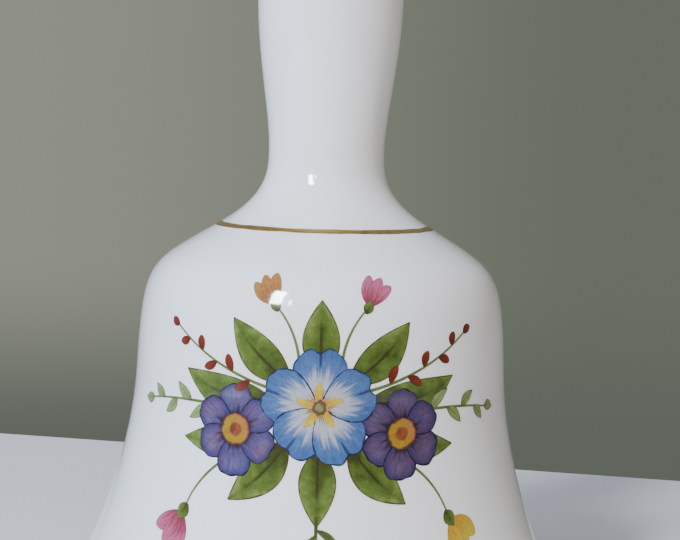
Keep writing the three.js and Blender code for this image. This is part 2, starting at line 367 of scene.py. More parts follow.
def brass_material():
    """Drawn brass wire: lengthwise drawing lines and a light brown tarnish."""
    material, tree, shader = material_tree("brass_wire", (0.55, 0.39, 0.16), 0.3, 1.0)
    where = place_on(tree)
    tarnish = noise_at(tree, where, 260, 4, 0.6)
    fine = noise_at(tree, place_on(tree, (1, 1, 0.08)), 4000, 2)
    bright = mixed(tree, smooth(tree, fine, 0.3, 0.7), (0.50, 0.35, 0.14), (0.66, 0.48, 0.21))
    feed(
        tree,
        shader.inputs["Base Color"],
        mixed(tree, smooth(tree, tarnish, 0.5, 0.72, 0.0, 0.75), bright, (0.20, 0.115, 0.045)),
    )
    feed(tree, shader.inputs["Roughness"], smooth(tree, tarnish, 0.35, 0.75, 0.24, 0.55))
    bumped(tree, shader, fine, 0.01 * MM, 0.5)
    return material


def cork_material():
    """Cork: packed grains, dark pores and pale flecks."""
    material, tree, shader = material_tree("cork", (0.42, 0.25, 0.12), 0.92)
    where = place_on(tree)
    cells = tree.nodes.new("ShaderNodeTexVoronoi")
    feed(tree, cells.inputs["Vector"], where)
    cells.inputs["Scale"].default_value = 1300
    grain = cells.outputs["Distance"]
    pores = noise_at(tree, where, 620, 3, 0.65)
    body = mixed(tree, smooth(tree, grain, 0.1, 0.6), (0.50, 0.31, 0.15), (0.34, 0.19, 0.085))
    feed(
        tree,
        shader.inputs["Base Color"],
        mixed(tree, smooth(tree, pores, 0.60, 0.68), body, (0.09, 0.045, 0.02)),
    )
    feed(tree, shader.inputs["Roughness"], smooth(tree, pores, 0.3, 0.7, 0.8, 0.98))
    bumped(tree, shader, maths(tree, "SUBTRACT", 1.0, pores), 0.15 * MM)
    return material


def plaster_material():
    """Old plaster: chalky, with trowel marks and small voids."""
    material, tree, shader = material_tree("plaster", (0.68, 0.63, 0.54), 0.9)
    where = place_on(tree)
    stain = noise_at(tree, where, 180, 4, 0.6)
    voids = noise_at(tree, where, 1500, 2)
    body = mixed(tree, smooth(tree, stain, 0.35, 0.7), (0.74, 0.70, 0.62), (0.56, 0.49, 0.38))
    feed(
        tree,
        shader.inputs["Base Color"],
        mixed(tree, smooth(tree, voids, 0.66, 0.72, 0.0, 0.6), body, (0.27, 0.22, 0.16)),
    )
    feed(tree, shader.inputs["Roughness"], smooth(tree, stain, 0.3, 0.7, 0.82, 0.97))
    bumped(tree, shader, maths(tree, "SUBTRACT", stain, maths(tree, "MULTIPLY", voids, 0.4)), 0.2 * MM)
    return material


# ---- Cup and handle ----

OUT_OF_ROUND = 0.02 * MM


def slip_cast(r, z, turn):
    """Hand finishing leaves a cast very slightly out of round, less than a tenth of a millimetre."""
    swell = np.sin(2 * turn + 0.6) + 0.6 * np.sin(3 * turn - 1.1 + z * 60)
    return r - OUT_OF_ROUND * (1.6 + swell), z


def cup_china():
    inside = CUP - CUP_NORMALS * CUP_WALL
    inside = inside[inside[:, 1] > LIP_INNER_ROUND + 0.1 * MM][::-1]
    outer_centre = (RIM_RADIUS - LIP_OUTER_ROUND, LIP_OUTER_ROUND)
    outer_lip = arc(outer_centre, LIP_OUTER_ROUND, -90, -8, 10)
    inner_centre = (inside[-1, 0] + LIP_INNER_ROUND, LIP_INNER_ROUND)
    inner_lip = arc(inner_centre, LIP_INNER_ROUND, 180, 270, 10)
    hole = [(CROWN_HOLE_RADIUS, CREASE_Z), (CROWN_HOLE_RADIUS, inside[0, 1])]
    profile = np.vstack([outer_lip, CUP, hole, inside, inner_lip])
    return lathe("cup_china", profile, 256, 50, slip_cast)


def handle_china():
    outside = handle_outside()
    ceiling = (0, TOP_Z - HANDLE_WALL)
    inside = outside - normals_of(outside) * HANDLE_WALL
    inside[-1] = ceiling
    inside = inside[inside[:, 1] > CREASE_Z][::3]
    inside = np.vstack([[(inside[0, 0] + 1.0 * MM, CREASE_Z)], inside, [ceiling]])
    profile = np.vstack([inside[::-1], outside])
    profile[0, 0] = 0
    return lathe("handle_china", profile, 192, 50, slip_cast)


china = china_material("glazed_china", (0.83, 0.825, 0.845), (0.83, 0.815, 0.815))
place(cup_china(), china, "bell", ["bell_cup"])
place(handle_china(), china, "bell", ["handle"])

# ---- Gilt lines ----

GILT_HALF_WIDTH = 0.6 * MM
RIM_LINE_Z = 2.4 * MM


def gilt_ring(name, middle, along, half_width, wander, seed):
    """A brushed line round the bell. Its two edges wander, and it is thickest along the middle."""
    turns = 720
    shares = (-1.0, -0.85, -0.4, 0.4, 0.85, 1.0)
    heights = (-0.03, 0.03, 0.05, 0.05, 0.03, -0.03)
    out = (along[1], -along[0])
    vertices, stroke, across = [], [], []
    for i in range(turns):
        turn = 2 * math.pi * i / turns
        spot = Vector((math.sin(turn), math.cos(turn), seed))
        shift = wander * (noise.noise(spot * 2.2) + 0.5 * noise.noise(spot * 9))
        swell = 1 + 0.16 * noise.noise(spot * 6 + Vector((3, 1, 0))) + 0.06 * noise.noise(spot * 40)
        for share, height in zip(shares, heights):
            slide = (share * swell + shift) * half_width
            r = middle[0] + along[0] * slide + out[0] * height * MM
            z = middle[1] + along[1] * slide + out[1] * height * MM
            r, z = slip_cast(r, z, turn)
            vertices.append((r * math.sin(turn), -r * math.cos(turn), z))
            stroke.append(turn * middle[0] / MM)
            across.append(share)
    count = len(shares)
    faces = []
    for i in range(turns):
        j = (i + 1) % turns
        for k in range(count):
            n = (k + 1) % count
            faces.append([i * count + k, j * count + k, j * count + n, i * count + n])
    return add_mesh(name, vertices, faces, 70, {"stroke": stroke, "across": across})


def direction_between(start, end):
    run = np.array(end) - np.array(start)
    return run / np.hypot(*run)


def gilt_lines():
    gold = gilding_material()
    crease = (CREASE_RADIUS, CREASE_Z)
    slope = direction_between(CUP[-2], handle_outside()[1])
    line = gilt_ring("gilt_shoulder", crease, slope, GILT_HALF_WIDTH, 0.16, 1.0)
    place(line, gold, "bell", ["gilt_shoulder_line"])
    near_rim = CUP[np.searchsorted(CUP[:, 1], RIM_LINE_Z)]
    above_rim = CUP[np.searchsorted(CUP[:, 1], RIM_LINE_Z + 0.8 * MM)]
    slope = direction_between(near_rim, above_rim)
    line = gilt_ring("gilt_rim", near_rim, slope, GILT_HALF_WIDTH, 0.12, 4.0)
    place(line, gold, "bell", ["gilt_rim_line"])


gilt_lines()

# ---- The fired print: thin enamel films laid on the cup ----
#
# A motif is drawn on a flat sheet in millimetres, with x to the right of the bell's front line and
# z up from the rim, and then wrapped on the cup.

ENAMEL = 0.03 * MM
LAYER_STEP = 0.004 * MM
ENAMEL_SINK = 0.02 * MM
NO_NOTCH = 9.0


def on_cup(x, z, lift):
    """Wraps points of the sheet, in millimetres, on the cup, standing off it by lift metres."""
    z = np.asarray(z, float) * MM
    r = np.interp(z, CUP[:, 1], CUP[:, 0])
    out_r = np.interp(z, CUP[:, 1], CUP_NORMALS[:, 0])
    out_z = np.interp(z, CUP[:, 1], CUP_NORMALS[:, 1])
    turn = np.asarray(x, float) * MM / r
    rr = slip_cast(r, z, turn)[0] + out_r * lift
    return np.stack([rr * np.sin(turn), -rr * np.cos(turn), z + out_z * lift], -1)


def edge_distance(grid):
    """How far each point of a grid is from the grid's outline, in millimetres."""
    rim = np.concatenate([grid[0], grid[1:, -1], grid[-1, -2::-1], grid[-2:0:-1, 0]])
    ends = np.roll(rim, -1, axis=0)
    span = ends - rim
    length = np.maximum((span ** 2).sum(1), 1e-12)
    flat = grid.reshape(-1, 1, 2)
    t = np.clip(((flat - rim) * span).sum(2) / length, 0, 1)
    nearest = rim + t[..., None] * span
    return np.sqrt(((flat - nearest) ** 2).sum(2)).min(1)


def film(name, grid, along, across, layer, material, tone=0.0, pale=0.0, notch=NO_NOTCH):
    """A closed thin film over a grid of sheet points. It sinks a little into the glaze."""
    rows, columns = grid.shape[:2]
    lift = ENAMEL + layer * LAYER_STEP
    top = on_cup(grid[..., 0], grid[..., 1], lift).reshape(-1, 3)
    bottom = on_cup(grid[..., 0], grid[..., 1], -ENAMEL_SINK).reshape(-1, 3)
    count = rows * columns
    index = np.arange(count).reshape(rows, columns)
    a, b, c, d = index[:-1, :-1], index[:-1, 1:], index[1:, 1:], index[1:, :-1]
    quads = np.stack([a, b, c, d], -1).reshape(-1, 4)
    step = grid[1, columns // 2] - grid[0, columns // 2]
    side = grid[rows // 2, -1] - grid[rows // 2, 0]
    if side[0] * step[1] - side[1] * step[0] < 0:
        quads = quads[:, ::-1]
    faces = quads.tolist() + (quads[:, ::-1] + count).tolist()
    edges = {}
    for quad in quads.tolist():
        for p, q in zip(quad, quad[1:] + quad[:1]):
            edges[(p, q)] = True
    for p, q in edges:
        if (q, p) not in edges:
            faces.append([q, p, p + count, q + count])
    values = {
        "along": np.tile(along.ravel(), 2),
        "across": np.tile(across.ravel(), 2),
        "edge": np.tile(edge_distance(grid), 2),
        "tone": np.full(2 * count, tone),
        "pale": np.full(2 * count, pale),
        "notch": np.full(2 * count, notch),
    }
    thing = add_mesh(name, np.vstack([top, bottom]), faces, 40, values)
    return place(thing, material, "bell")


def fan(centre, direction, length, spread, notch=0.0, rows=26, columns=40):
    """A petal that widens from a flower's centre. Its tip is round, with a notch in the middle."""
    s, a = np.meshgrid(np.linspace(0.1, 1, rows), np.linspace(-1, 1, columns), indexing="ij")
    round_tip = (1 - np.abs(a) ** 2.7) ** 0.46
    dip = 1 - notch * np.exp(-(a / 0.13) ** 2)
    ripple = 1 + 0.016 * np.sin(6 * a + direction) + 0.010 * np.sin(15 * a + 2 * direction)
    reach = length * np.maximum(round_tip, 0.12) * dip * ripple
    turn = np.radians(direction + spread * a * (1 - 0.12 * s))
    grid = np.stack([centre[0] + s * reach * np.cos(turn), centre[1] + s * reach * np.sin(turn)], -1)
    return grid, s, a


def blade(base, tip, width, bend=0.0, fullness=0.8, blunt=0.9, rows=30, columns=14):
    """A leaf or bud: a midrib that bends sideways, with a width that swells and closes."""
    s, t = np.meshgrid(np.linspace(0, 1, rows), np.linspace(-1, 1, columns), indexing="ij")
    base, tip = np.array(base, float), np.array(tip, float)
    run = tip - base
    across = np.array([-run[1], run[0]])
    curve = 4 * bend * s * (1 - s)
    swell = np.sin(np.pi * s ** fullness) ** blunt
    half = width / 2 * np.maximum(swell, 0.04)
    unit = across / np.hypot(*across)
    grid = base + s[..., None] * run + curve[..., None] * across + (half * t)[..., None] * unit
    return grid, s, t


def ribbon(points, width, taper=0.5, rows=40, columns=5):
    """A stem: a smooth line through the points, thinning to its end."""
    steps = np.linspace(0, len(points) - 1, rows)
    before = np.vstack([2 * points[0] - points[1], points, 2 * points[-1] - points[-2]])
    line = []
    for step in steps:
        i = min(int(step), len(points) - 2)
        f = step - i
        p0, p1, p2, p3 = before[i:i + 4]
        line.append(0.5 * (2 * p1 + (p2 - p0) * f + (2 * p0 - 5 * p1 + 4 * p2 - p3) * f ** 2
                           + (3 * p1 - p0 - 3 * p2 + p3) * f ** 3))
    line = np.array(line)
    along = np.gradient(line, axis=0)
    along /= np.hypot(along[:, 0], along[:, 1])[:, None]
    unit = np.stack([-along[:, 1], along[:, 0]], 1)
    s, t = np.meshgrid(np.linspace(0, 1, rows), np.linspace(-1, 1, columns), indexing="ij")
    half = width / 2 * (1 - (1 - taper) * s)
    return line[:, None, :] + (half * t)[..., None] * unit[:, None, :], s, t


def disc(centre, radius, steps=24):
    u, v = np.meshgrid(np.linspace(-1, 1, steps), np.linspace(-1, 1, steps), indexing="ij")
    x = u * np.sqrt(1 - v * v / 2)
    y = v * np.sqrt(1 - u * u / 2)
    grid = np.stack([centre[0] + radius * x, centre[1] + radius * y], -1)
    return grid, np.sqrt(x * x + y * y), np.arctan2(y, x)


# ---- Enamel colours ----
#
# The colours, and how petals, eyes and leaves are shaded, follow the photographed print.


def enamel(name, colour):
    """Enamel under the same gloss as the china. Printed colour is slightly grainy."""
    material, tree, shader = material_tree(name, colour, 0.1)
    where = place_on(tree)
    fine = noise_at(tree, where, 700, 2)
    feed(tree, shader.inputs["Roughness"], smooth(tree, fine, 0.3, 0.7, 0.06, 0.12))
    glossed(tree, shader, where, fine)
    return material, tree, shader


def grained(tree, colour, depth=1.0):
    """The printer's dots: a fine speckle that lightens and darkens a colour, which depth scales."""
    dots = noise_at(tree, place_on(tree), 5200, 1)
    soft = noise_at(tree, place_on(tree), 1300, 2)
    level = smooth(tree, dots, 0.3, 0.7, 0.89, 1.09)
    level = maths(tree, "ADD", level, smooth(tree, soft, 0.3, 0.7, -0.07, 0.07))
    level = maths(tree, "MULTIPLY", level, depth)
    node = tree.nodes.new("ShaderNodeVectorMath")
    node.operation = "SCALE"
    feed(tree, node.inputs[0], colour)
    feed(tree, node.inputs["Scale"], level)
    return node.outputs["Vector"]


def streaks(tree, across_count, drift=1.2):
    """Strokes that run from a petal's base to its tip."""
    tone = maths(tree, "MULTIPLY", attribute(tree, "tone"), 37.0)
    sideways = maths(tree, "MULTIPLY", attribute(tree, "across"), across_count)
    onward = maths(tree, "MULTIPLY", attribute(tree, "along"), drift)
    return noise_at(tree, vector_of(tree, sideways, onward, tone), 1.0, 3, 0.6)


def outlined(tree, colour, line, width, amount=1.0):
    """A drawn outline whose width wavers."""
    waver = noise_at(tree, place_on(tree), 900, 2)
    reach = maths(tree, "MULTIPLY", smooth(tree, waver, 0.3, 0.7, width * 0.35, width * 1.5), amount)
    far = maths(tree, "MULTIPLY", reach, 2.2)
    inside = smooth(tree, attribute(tree, "edge"), reach, far)
    return mixed(tree, inside, line, colour)


def crease(tree, colour, line, start, strength=0.85):
    """A dark line that runs in from the notch between a petal's lobes."""
    offset = maths(tree, "SUBTRACT", attribute(tree, "across"), attribute(tree, "notch"))
    offset = maths(tree, "ABSOLUTE", offset)
    near = smooth(tree, offset, 0.012, 0.05, strength, 0.0)
    high = smooth(tree, attribute(tree, "along"), start, start + 0.14)
    return mixed(tree, maths(tree, "MULTIPLY", near, high), colour, line)


def blue_enamel():
    material, tree, shader = enamel("print_blue", (0.12, 0.25, 0.55))
    along = attribute(tree, "along")
    pale = attribute(tree, "pale")
    stroke = streaks(tree, 11)
    body = mixed(tree, smooth(tree, stroke, 0.30, 0.72), (0.066, 0.150, 0.385), (0.130, 0.235, 0.500))
    body = mixed(tree, smooth(tree, along, 0.75, 1.0, 0.0, 0.5), body, (0.058, 0.125, 0.350))
    fade = maths(tree, "ADD", along, smooth(tree, stroke, 0.25, 0.75, -0.16, 0.16))
    white = maths(tree, "MULTIPLY", smooth(tree, fade, 0.42, 0.74, 1.0, 0.0), pale)
    body = mixed(tree, white, body, (0.78, 0.74, 0.74))
    base = maths(tree, "ADD", along, smooth(tree, stroke, 0.3, 0.7, 0.09, -0.09))
    amber = mixed(tree, smooth(tree, base, 0.14, 0.24), (0.30, 0.12, 0.03), (0.58, 0.36, 0.13))
    body = mixed(tree, smooth(tree, base, 0.20, 0.33, 0.95, 0.0), body, amber)
    body = crease(tree, body, (0.02, 0.04, 0.12), 0.66)
    body = outlined(tree, body, (0.018, 0.03, 0.085), 0.11)
    feed(tree, shader.inputs["Base Color"], grained(tree, body, 0.58))
    return material


def violet_enamel():
    material, tree, shader = enamel("print_violet", (0.17, 0.14, 0.42))
    along = attribute(tree, "along")
    stroke = streaks(tree, 8)
    blotch = noise_at(tree, place_on(tree), 330, 3)
    mauve = maths(tree, "ADD", blotch, maths(tree, "MULTIPLY", attribute(tree, "pale"), 0.18))
    body = mixed(tree, smooth(tree, mauve, 0.40, 0.66), (0.088, 0.088, 0.275), (0.180, 0.088, 0.215))
    middle = smooth(tree, attribute(tree, "edge"), 0.25, 1.7)
    light = maths(tree, "MULTIPLY", middle, smooth(tree, stroke, 0.35, 0.7, 0.15, 0.75))
    body = mixed(tree, light, body, (0.265, 0.195, 0.385))
    border = smooth(tree, attribute(tree, "edge"), 0.1, 0.9, 0.7, 0.0)
    body = mixed(tree, border, body, (0.052, 0.054, 0.195))
    inner = smooth(tree, along, 0.42, 0.72, 1.0, 0.0)
    veins = maths(tree, "MULTIPLY", smooth(tree, stroke, 0.45, 0.56), inner)
    body = mixed(tree, maths(tree, "MULTIPLY", veins, 0.85), body, (0.045, 0.018, 0.045))
    body = mixed(tree, smooth(tree, along, 0.32, 0.50, 0.9, 0.0), body, (0.030, 0.014, 0.028))
    body = outlined(tree, body, (0.026, 0.016, 0.050), 0.11)
    depth = smooth(tree, attribute(tree, "pale"), 0.0, 1.0, 0.52, 0.36)
    feed(tree, shader.inputs["Base Color"], grained(tree, body, depth))
    return material


def yellow_enamel():
    """A flower's eye: orange-brown, a yellow ring, then a rim that is crimson on one side."""
    material, tree, shader = enamel("print_yellow", (0.6, 0.42, 0.06))
    out = attribute(tree, "along")
    turn = attribute(tree, "across")
    blotch = noise_at(tree, place_on(tree), 900, 3)
    wide = maths(tree, "ADD", out, smooth(tree, blotch, 0.3, 0.7, -0.07, 0.07))
    ring = mixed(tree, smooth(tree, maths(tree, "SINE", maths(tree, "ADD", turn, 0.9)), -0.4, 0.9),
                 (0.28, 0.16, 0.014), (0.29, 0.14, 0.028))
    eye = mixed(tree, smooth(tree, blotch, 0.45, 0.6), (0.21, 0.052, 0.022), (0.13, 0.034, 0.014))
    body = mixed(tree, smooth(tree, wide, 0.36, 0.50), eye, ring)
    crimson = smooth(tree, maths(tree, "SINE", maths(tree, "ADD", turn, 1.1)), 0.15, 0.8)
    rim = mixed(tree, crimson, (0.075, 0.03, 0.013), (0.27, 0.03, 0.05))
    body = mixed(tree, smooth(tree, wide, 0.80, 0.93), body, rim)
    body = outlined(tree, body, (0.05, 0.02, 0.02), 0.09)
    feed(tree, shader.inputs["Base Color"], grained(tree, body))
    return material


def eye_enamel():
    """The blue flower's eye: olive, darker towards its edge."""
    material, tree, shader = enamel("print_olive", (0.12, 0.09, 0.03))
    out = attribute(tree, "along")
    blotch = noise_at(tree, place_on(tree), 1300, 3)
    wide = maths(tree, "ADD", out, smooth(tree, blotch, 0.3, 0.7, -0.2, 0.2))
    body = mixed(tree, smooth(tree, wide, 0.15, 0.6), (0.19, 0.19, 0.07), (0.085, 0.05, 0.025))
    body = mixed(tree, smooth(tree, wide, 0.72, 1.0), body, (0.40, 0.20, 0.05))
    feed(tree, shader.inputs["Base Color"], grained(tree, body))
    return material


def green_enamel():
    """Leaves and stems. Tone lightens them, and pale is how strongly the ribs and outline are drawn."""
    material, tree, shader = enamel("print_green", (0.1, 0.2, 0.03))
    along = attribute(tree, "along")
    drawn = attribute(tree, "pale")
    blotch = noise_at(tree, place_on(tree), 520, 3)
    rib = maths(tree, "ABSOLUTE", attribute(tree, "across"))
    shade = maths(tree, "ADD", maths(tree, "MULTIPLY", rib, 0.30), maths(tree, "MULTIPLY", along, 0.42))
    shade = maths(tree, "ADD", shade, maths(tree, "MULTIPLY", blotch, 0.9))
    body = mixed(tree, smooth(tree, shade, 0.50, 0.90), (0.060, 0.080, 0.012), (0.125, 0.190, 0.030))
    body = mixed(tree, smooth(tree, shade, 0.86, 1.16, 0.0, 0.85), body, (0.25, 0.325, 0.080))
    body = mixed(tree, smooth(tree, attribute(tree, "tone"), 0.3, 1.0), body, (0.40, 0.53, 0.19))
    inner = smooth(tree, along, 0.45, 0.85, 1.0, 0.0)
    line = maths(tree, "MULTIPLY", smooth(tree, rib, 0.02, 0.14, 0.9, 0.0), inner)
    body = mixed(tree, maths(tree, "MULTIPLY", line, drawn), body, (0.042, 0.042, 0.010))
    base = maths(tree, "ADD", along, maths(tree, "MULTIPLY", blotch, 0.35))
    dusk = maths(tree, "MULTIPLY", smooth(tree, base, 0.16, 0.56, 0.85, 0.0), drawn)
    body = mixed(tree, dusk, body, (0.046, 0.038, 0.012))
    body = outlined(tree, body, (0.100, 0.060, 0.024), 0.10, smooth(tree, drawn, 0.0, 1.0, 0.12, 1.0))
    feed(tree, shader.inputs["Base Color"], grained(tree, body, 0.62))
    return material


def petal_enamel(name, deep, light, line, reach=0.05):
    """Small blooms: deep at the base, lighter in streaks towards the tip, with a soft outline."""
    material, tree, shader = enamel(name, deep)
    level = maths(tree, "ADD", streaks(tree, 5), maths(tree, "MULTIPLY", attribute(tree, "along"), 0.5))
    body = mixed(tree, smooth(tree, level, 0.50, 1.0), deep, light)
    body = outlined(tree, body, line, reach)
    feed(tree, shader.inputs["Base Color"], grained(tree, body))
    return material


# ---- Motifs ----

BLUE = blue_enamel()
VIOLET = violet_enamel()
YELLOW = yellow_enamel()
OLIVE = eye_enamel()
GREEN = green_enamel()
RUST = petal_enamel("print_rust", (0.095, 0.010, 0.006), (0.155, 0.024, 0.013), (0.06, 0.008, 0.006))
PINK = petal_enamel("print_pink", (0.19, 0.018, 0.040), (0.42, 0.10, 0.17), (0.20, 0.03, 0.06))
GOLDEN = petal_enamel("print_golden", (0.42, 0.22, 0.014), (0.50, 0.37, 0.032), (0.40, 0.23, 0.03))
AMBER = petal_enamel("print_amber", (0.20, 0.065, 0.012), (0.34, 0.15, 0.035), (0.20, 0.08, 0.02))


def leaf(name, base, tip, width, bend=0.0, layer=0, tone=0.0, drawn=1.0):
    grid, s, t = blade(base, tip, width, bend, 0.85, 0.85)
    film(name, grid, s, t, layer, GREEN, tone, drawn)


def stalk(name, points, width, tone=0.5):
    grid, s, t = ribbon(points, width)
    film(name, grid, s, t, 2, GREEN, tone, 0.0)


def bud(name, base, tip, width, layer, material):
    grid, s, t = blade(base, tip, width, 0.05, 1.15, 0.55)
    film(name, grid, s, t, layer, material)


def away(start, turn, reach):
    """The point that lies reach from start, turn degrees round from the right."""
    angle = math.radians(turn)
    return (start[0] + reach * math.cos(angle), start[1] + reach * math.sin(angle))


def petals(name, centre, count, length, layer, material, notch=0.0, pale=0.0):
    """A ring of like petals, each turned and stretched a little, as if by a brush."""
    step = 360 / count
    for i in range(count):
        turn = 90 + i * step + 2.5 * math.sin(1.7 * i + centre[0])
        reach = length * (1 + 0.035 * math.sin(2.4 * i + centre[0]))
        grid, s, a = fan(centre, turn, reach, 0.8 * step, notch)
        tone = i * 0.37 % 1.0
        notch_at = 0.0 if notch else NO_NOTCH
        film(f"{name}_petal_{i + 1}", grid, s, a, layer + i, material, tone, pale, notch_at)


# ---- The posy ----
#
# Its layout is a plain mirrored one about the bell's front line: one flower in the middle, one on
# each side, a ring of leaves behind them, and sprays in pairs. Lengths are in millimetres.

POSY_Z = 0.57 * CREASE_Z / MM
POSY_WIDE = 21.0
POSY_HIGH = 15.0
MIDDLE_PETAL = 8.4
SIDE_PETAL = 6.4
LEAF_COUNT = 10
LEAF_WIDTH = 5.4
SIDES = (("left", -1), ("right", 1))


def spot(across, up):
    """A point given in shares of the posy's half width and half height."""
    return (across * POSY_WIDE, POSY_Z + up * POSY_HIGH)


def middle_flower():
    centre = spot(0, 0.05)
    petals("blue_flower", centre, 5, MIDDLE_PETAL, 13, BLUE, 0.09, 0.75)
    for i in range(5):
        tip = away(centre, 90 + i * 72, 0.42 * MIDDLE_PETAL)
        bud(f"blue_flower_ray_{i + 1}", centre, tip, 1.1, 19 + i % 2, GOLDEN)
    grid, out, turn = disc(centre, 0.15 * MIDDLE_PETAL)
    film("blue_flower_eye", grid, out, turn, 22, OLIVE)


def side_flowers():
    for i, (name, side) in enumerate(SIDES):
        centre = spot(0.58 * side, -0.2)
        petals(f"violet_flower_{name}", centre, 6, SIDE_PETAL, 3, VIOLET, 0.0, 0.1 + 0.7 * i)
        grid, out, turn = disc(centre, 0.36 * SIDE_PETAL)
        film(f"violet_flower_{name}_eye", grid, out, turn, 11, YELLOW)


def leaf_ring():
    """Leaves on an oval. Those that lie nearer to the sides bend down."""
    for i in range(LEAF_COUNT):
        angle = math.radians(90 + i * 360 / LEAF_COUNT)
        base = spot(0.35 * math.cos(angle), 0.35 * math.sin(angle))
        tip = spot(1.05 * math.cos(angle), 1.05 * math.sin(angle))
        leaf(f"leaf_{i + 1}", base, tip, LEAF_WIDTH, -0.10 * math.cos(angle), i % 2)


def bow(start, end, rise):
    """Points on a bow between two points. Rise is its height as a share of its length."""
    start, end = np.array(start), np.array(end)
    run = end - start
    across = np.array([-run[1], run[0]])
    return np.array([start + run * t + across * rise * 4 * t * (1 - t) for t in np.linspace(0, 1, 6)])


def shoots(line, count, length, lean):
    """Bases and tips of shoots on alternate sides of a stem. The last one carries the stem on."""
    steps = np.linspace(0, 1, len(line))
    pairs = []
    for i, share in enumerate(np.linspace(0.25, 1, count)):
        base = [np.interp(share, steps, line[:, k]) for k in (0, 1)]
        before = [np.interp(share - 0.1, steps, line[:, k]) for k in (0, 1)]
        heading = math.degrees(math.atan2(base[1] - before[1], base[0] - before[0]))
        turn = heading if i == count - 1 else heading + lean * (-1) ** i
        pairs.append((base, away(base, turn, length * (1.2 - 0.5 * share))))
    return pairs


def bloom(name, base, heading, length, material):
    """A half-open bud: two outer petals, one in front, and a calyx."""
    for i, lean in enumerate((-26, 26, 0)):
        tip = away(base, heading + lean, length)
        bud(f"{name}_petal_{i + 1}", base, tip, 0.46 * length, 3 + i, material)
    start = away(base, heading + 180, 0.28 * length)
    leaf(f"{name}_calyx", start, away(base, heading, 0.22 * length), 0.36 * length, 0.0, 6, 0.0, 0.5)


def bud_sprays():
    for name, side in SIDES:
        line = bow(spot(0.26 * side, 0.18), spot(1.1 * side, 0.72), -0.05 * side)
        stalk(f"bud_stem_{name}", line, 0.5)
        for i, (base, tip) in enumerate(shoots(line, 6, 2.6, 50)):
            bud(f"rust_bud_{name}_{i + 1}", base, tip, 1.3, 3, RUST)


def leafy_sprays():
    for name, side in SIDES:
        line = bow(spot(0.62 * side, 0.0), spot(1.38 * side, -0.02), 0.03 * side)
        stalk(f"sprig_stem_{name}", line, 0.5)
        for i, (base, tip) in enumerate(shoots(line, 5, 3.8, 40)):
            leaf(f"sprig_leaf_{name}_{i + 1}", base, tip, 1.6, 0.06, 3, 0.7, 0.5)


def bloom_sprays():
    colours = ((PINK, "print_pink"), (GOLDEN, "print_yellow"))
    for (name, side), (material, slot) in zip(SIDES, colours):
        line = bow(spot(0.4 * side, -0.35), spot(0.98 * side, -1.02), 0.12 * side)
        stalk(f"bloom_stem_{name}", line, 0.5)
        bloom(f"bloom_{name}", line[-1], 270 + 38 * side, 5.6, material)


def frond():
    """A fern frond that hangs from the lowest leaf."""
    line = bow(spot(0, -0.95), spot(0, -1.42), 0.0)
    stalk("frond_stem", line, 0.6, 0.3)
    for i, (base, tip) in enumerate(shoots(line, 9, 4.4, 50)):
        leaf(f"frond_leaf_{i + 1}", base, tip, 1.1, 0.08, 3, 0.4, 0.2)


def top_blooms():
    """An amber bloom and a pink one, on stems between the top leaves."""
    colours = ((AMBER, "print_yellow"), (PINK, "print_pink"))
    for (name, side), (material, slot) in zip(SIDES, colours):
        line = bow(spot(0.14 * side, 0.35), spot(0.32 * side, 1.0), 0.1 * side)
        stalk(f"top_stem_{name}", line, 0.5)
        bloom(f"top_bloom_{name}", line[-1], 90 - 24 * side, 4.2, material)


leaf_ring()
frond()
bud_sprays()
leafy_sprays()
bloom_sprays()
top_blooms()
side_flowers()
middle_flower()

# ---- Hanger and clapper ----

WIRE = 0.6 * MM
PIN_BORE = 0.66 * MM
FIT_GAP = 0.05 * MM
RING = 1.9 * MM
BEND = 0.65 * MM
EYE_Z = 51 * MM
STEM_RING_Z = 48.5 * MM
plug_low, plug_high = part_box("hanger_plug")
collar_low, collar_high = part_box("plug_cement")
washer_low, washer_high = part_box("hanger_washer")
eye_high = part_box("hanger_eye")[1]
wire_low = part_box("clapper_wire")[0]
bead_low, bead_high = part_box("clapper_bead")
crimp_low, crimp_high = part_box("clapper_crimp")


def rounded(corners, radius, steps=5):
    """Rounds the corners of a closed (radius, z) outline."""
    corners = np.array(corners, float)
    points = []
    for i, corner in enumerate(corners):
        before = corners[i - 1] - corner
        after = corners[(i + 1) % len(corners)] - corner
        cut = min(radius, 0.45 * np.hypot(*before), 0.45 * np.hypot(*after))
        start = corner + before / np.hypot(*before) * cut
        end = corner + after / np.hypot(*after) * cut
        for t in np.linspace(0, 1, steps):
            points.append((1 - t) ** 2 * start + 2 * t * (1 - t) * corner + t * t * end)
    return np.array(points)


def divided(outline, longest):
    """Adds points along a closed outline until no step is longer than this."""
    points = []
    for start, end in zip(outline, np.roll(outline, -1, axis=0)):
        count = max(1, int(np.ceil(np.hypot(*(end - start)) / longest)))
        points += [start + (end - start) * k / count for k in range(count)]
    return np.array(points)


def lumpy(depth, scale, only_below=None):
    """A wobble that eats into a turned surface unevenly, and never swells it."""
    def wobble(r, z, turn):
        spot = Vector((r * math.sin(turn), r * math.cos(turn), z)) / MM
        bite = depth * (0.5 + noise.noise(spot * scale) + 0.4 * noise.noise(spot * scale * 3))
        bite = max(bite, 0.0)
        if only_below is not None:
            return r, z + (bite if z < only_below else 0.0)
        return (r - bite if r > 1.2 * MM else r), z
    return wobble


def plug():
    corners = [
        (PIN_BORE, plug_low.z),
        (plug_high.x, plug_low.z),
        (plug_high.x - 0.2 * MM, plug_high.z),
        (PIN_BORE, plug_high.z),
    ]
    outline = divided(rounded(corners, 0.5 * MM), 0.3 * MM)
    thing = lathe("cork_plug", outline, 96, 50, lumpy(0.07 * MM, 0.9))
    place(thing, cork_material(), "bell", ["hanger_plug"])


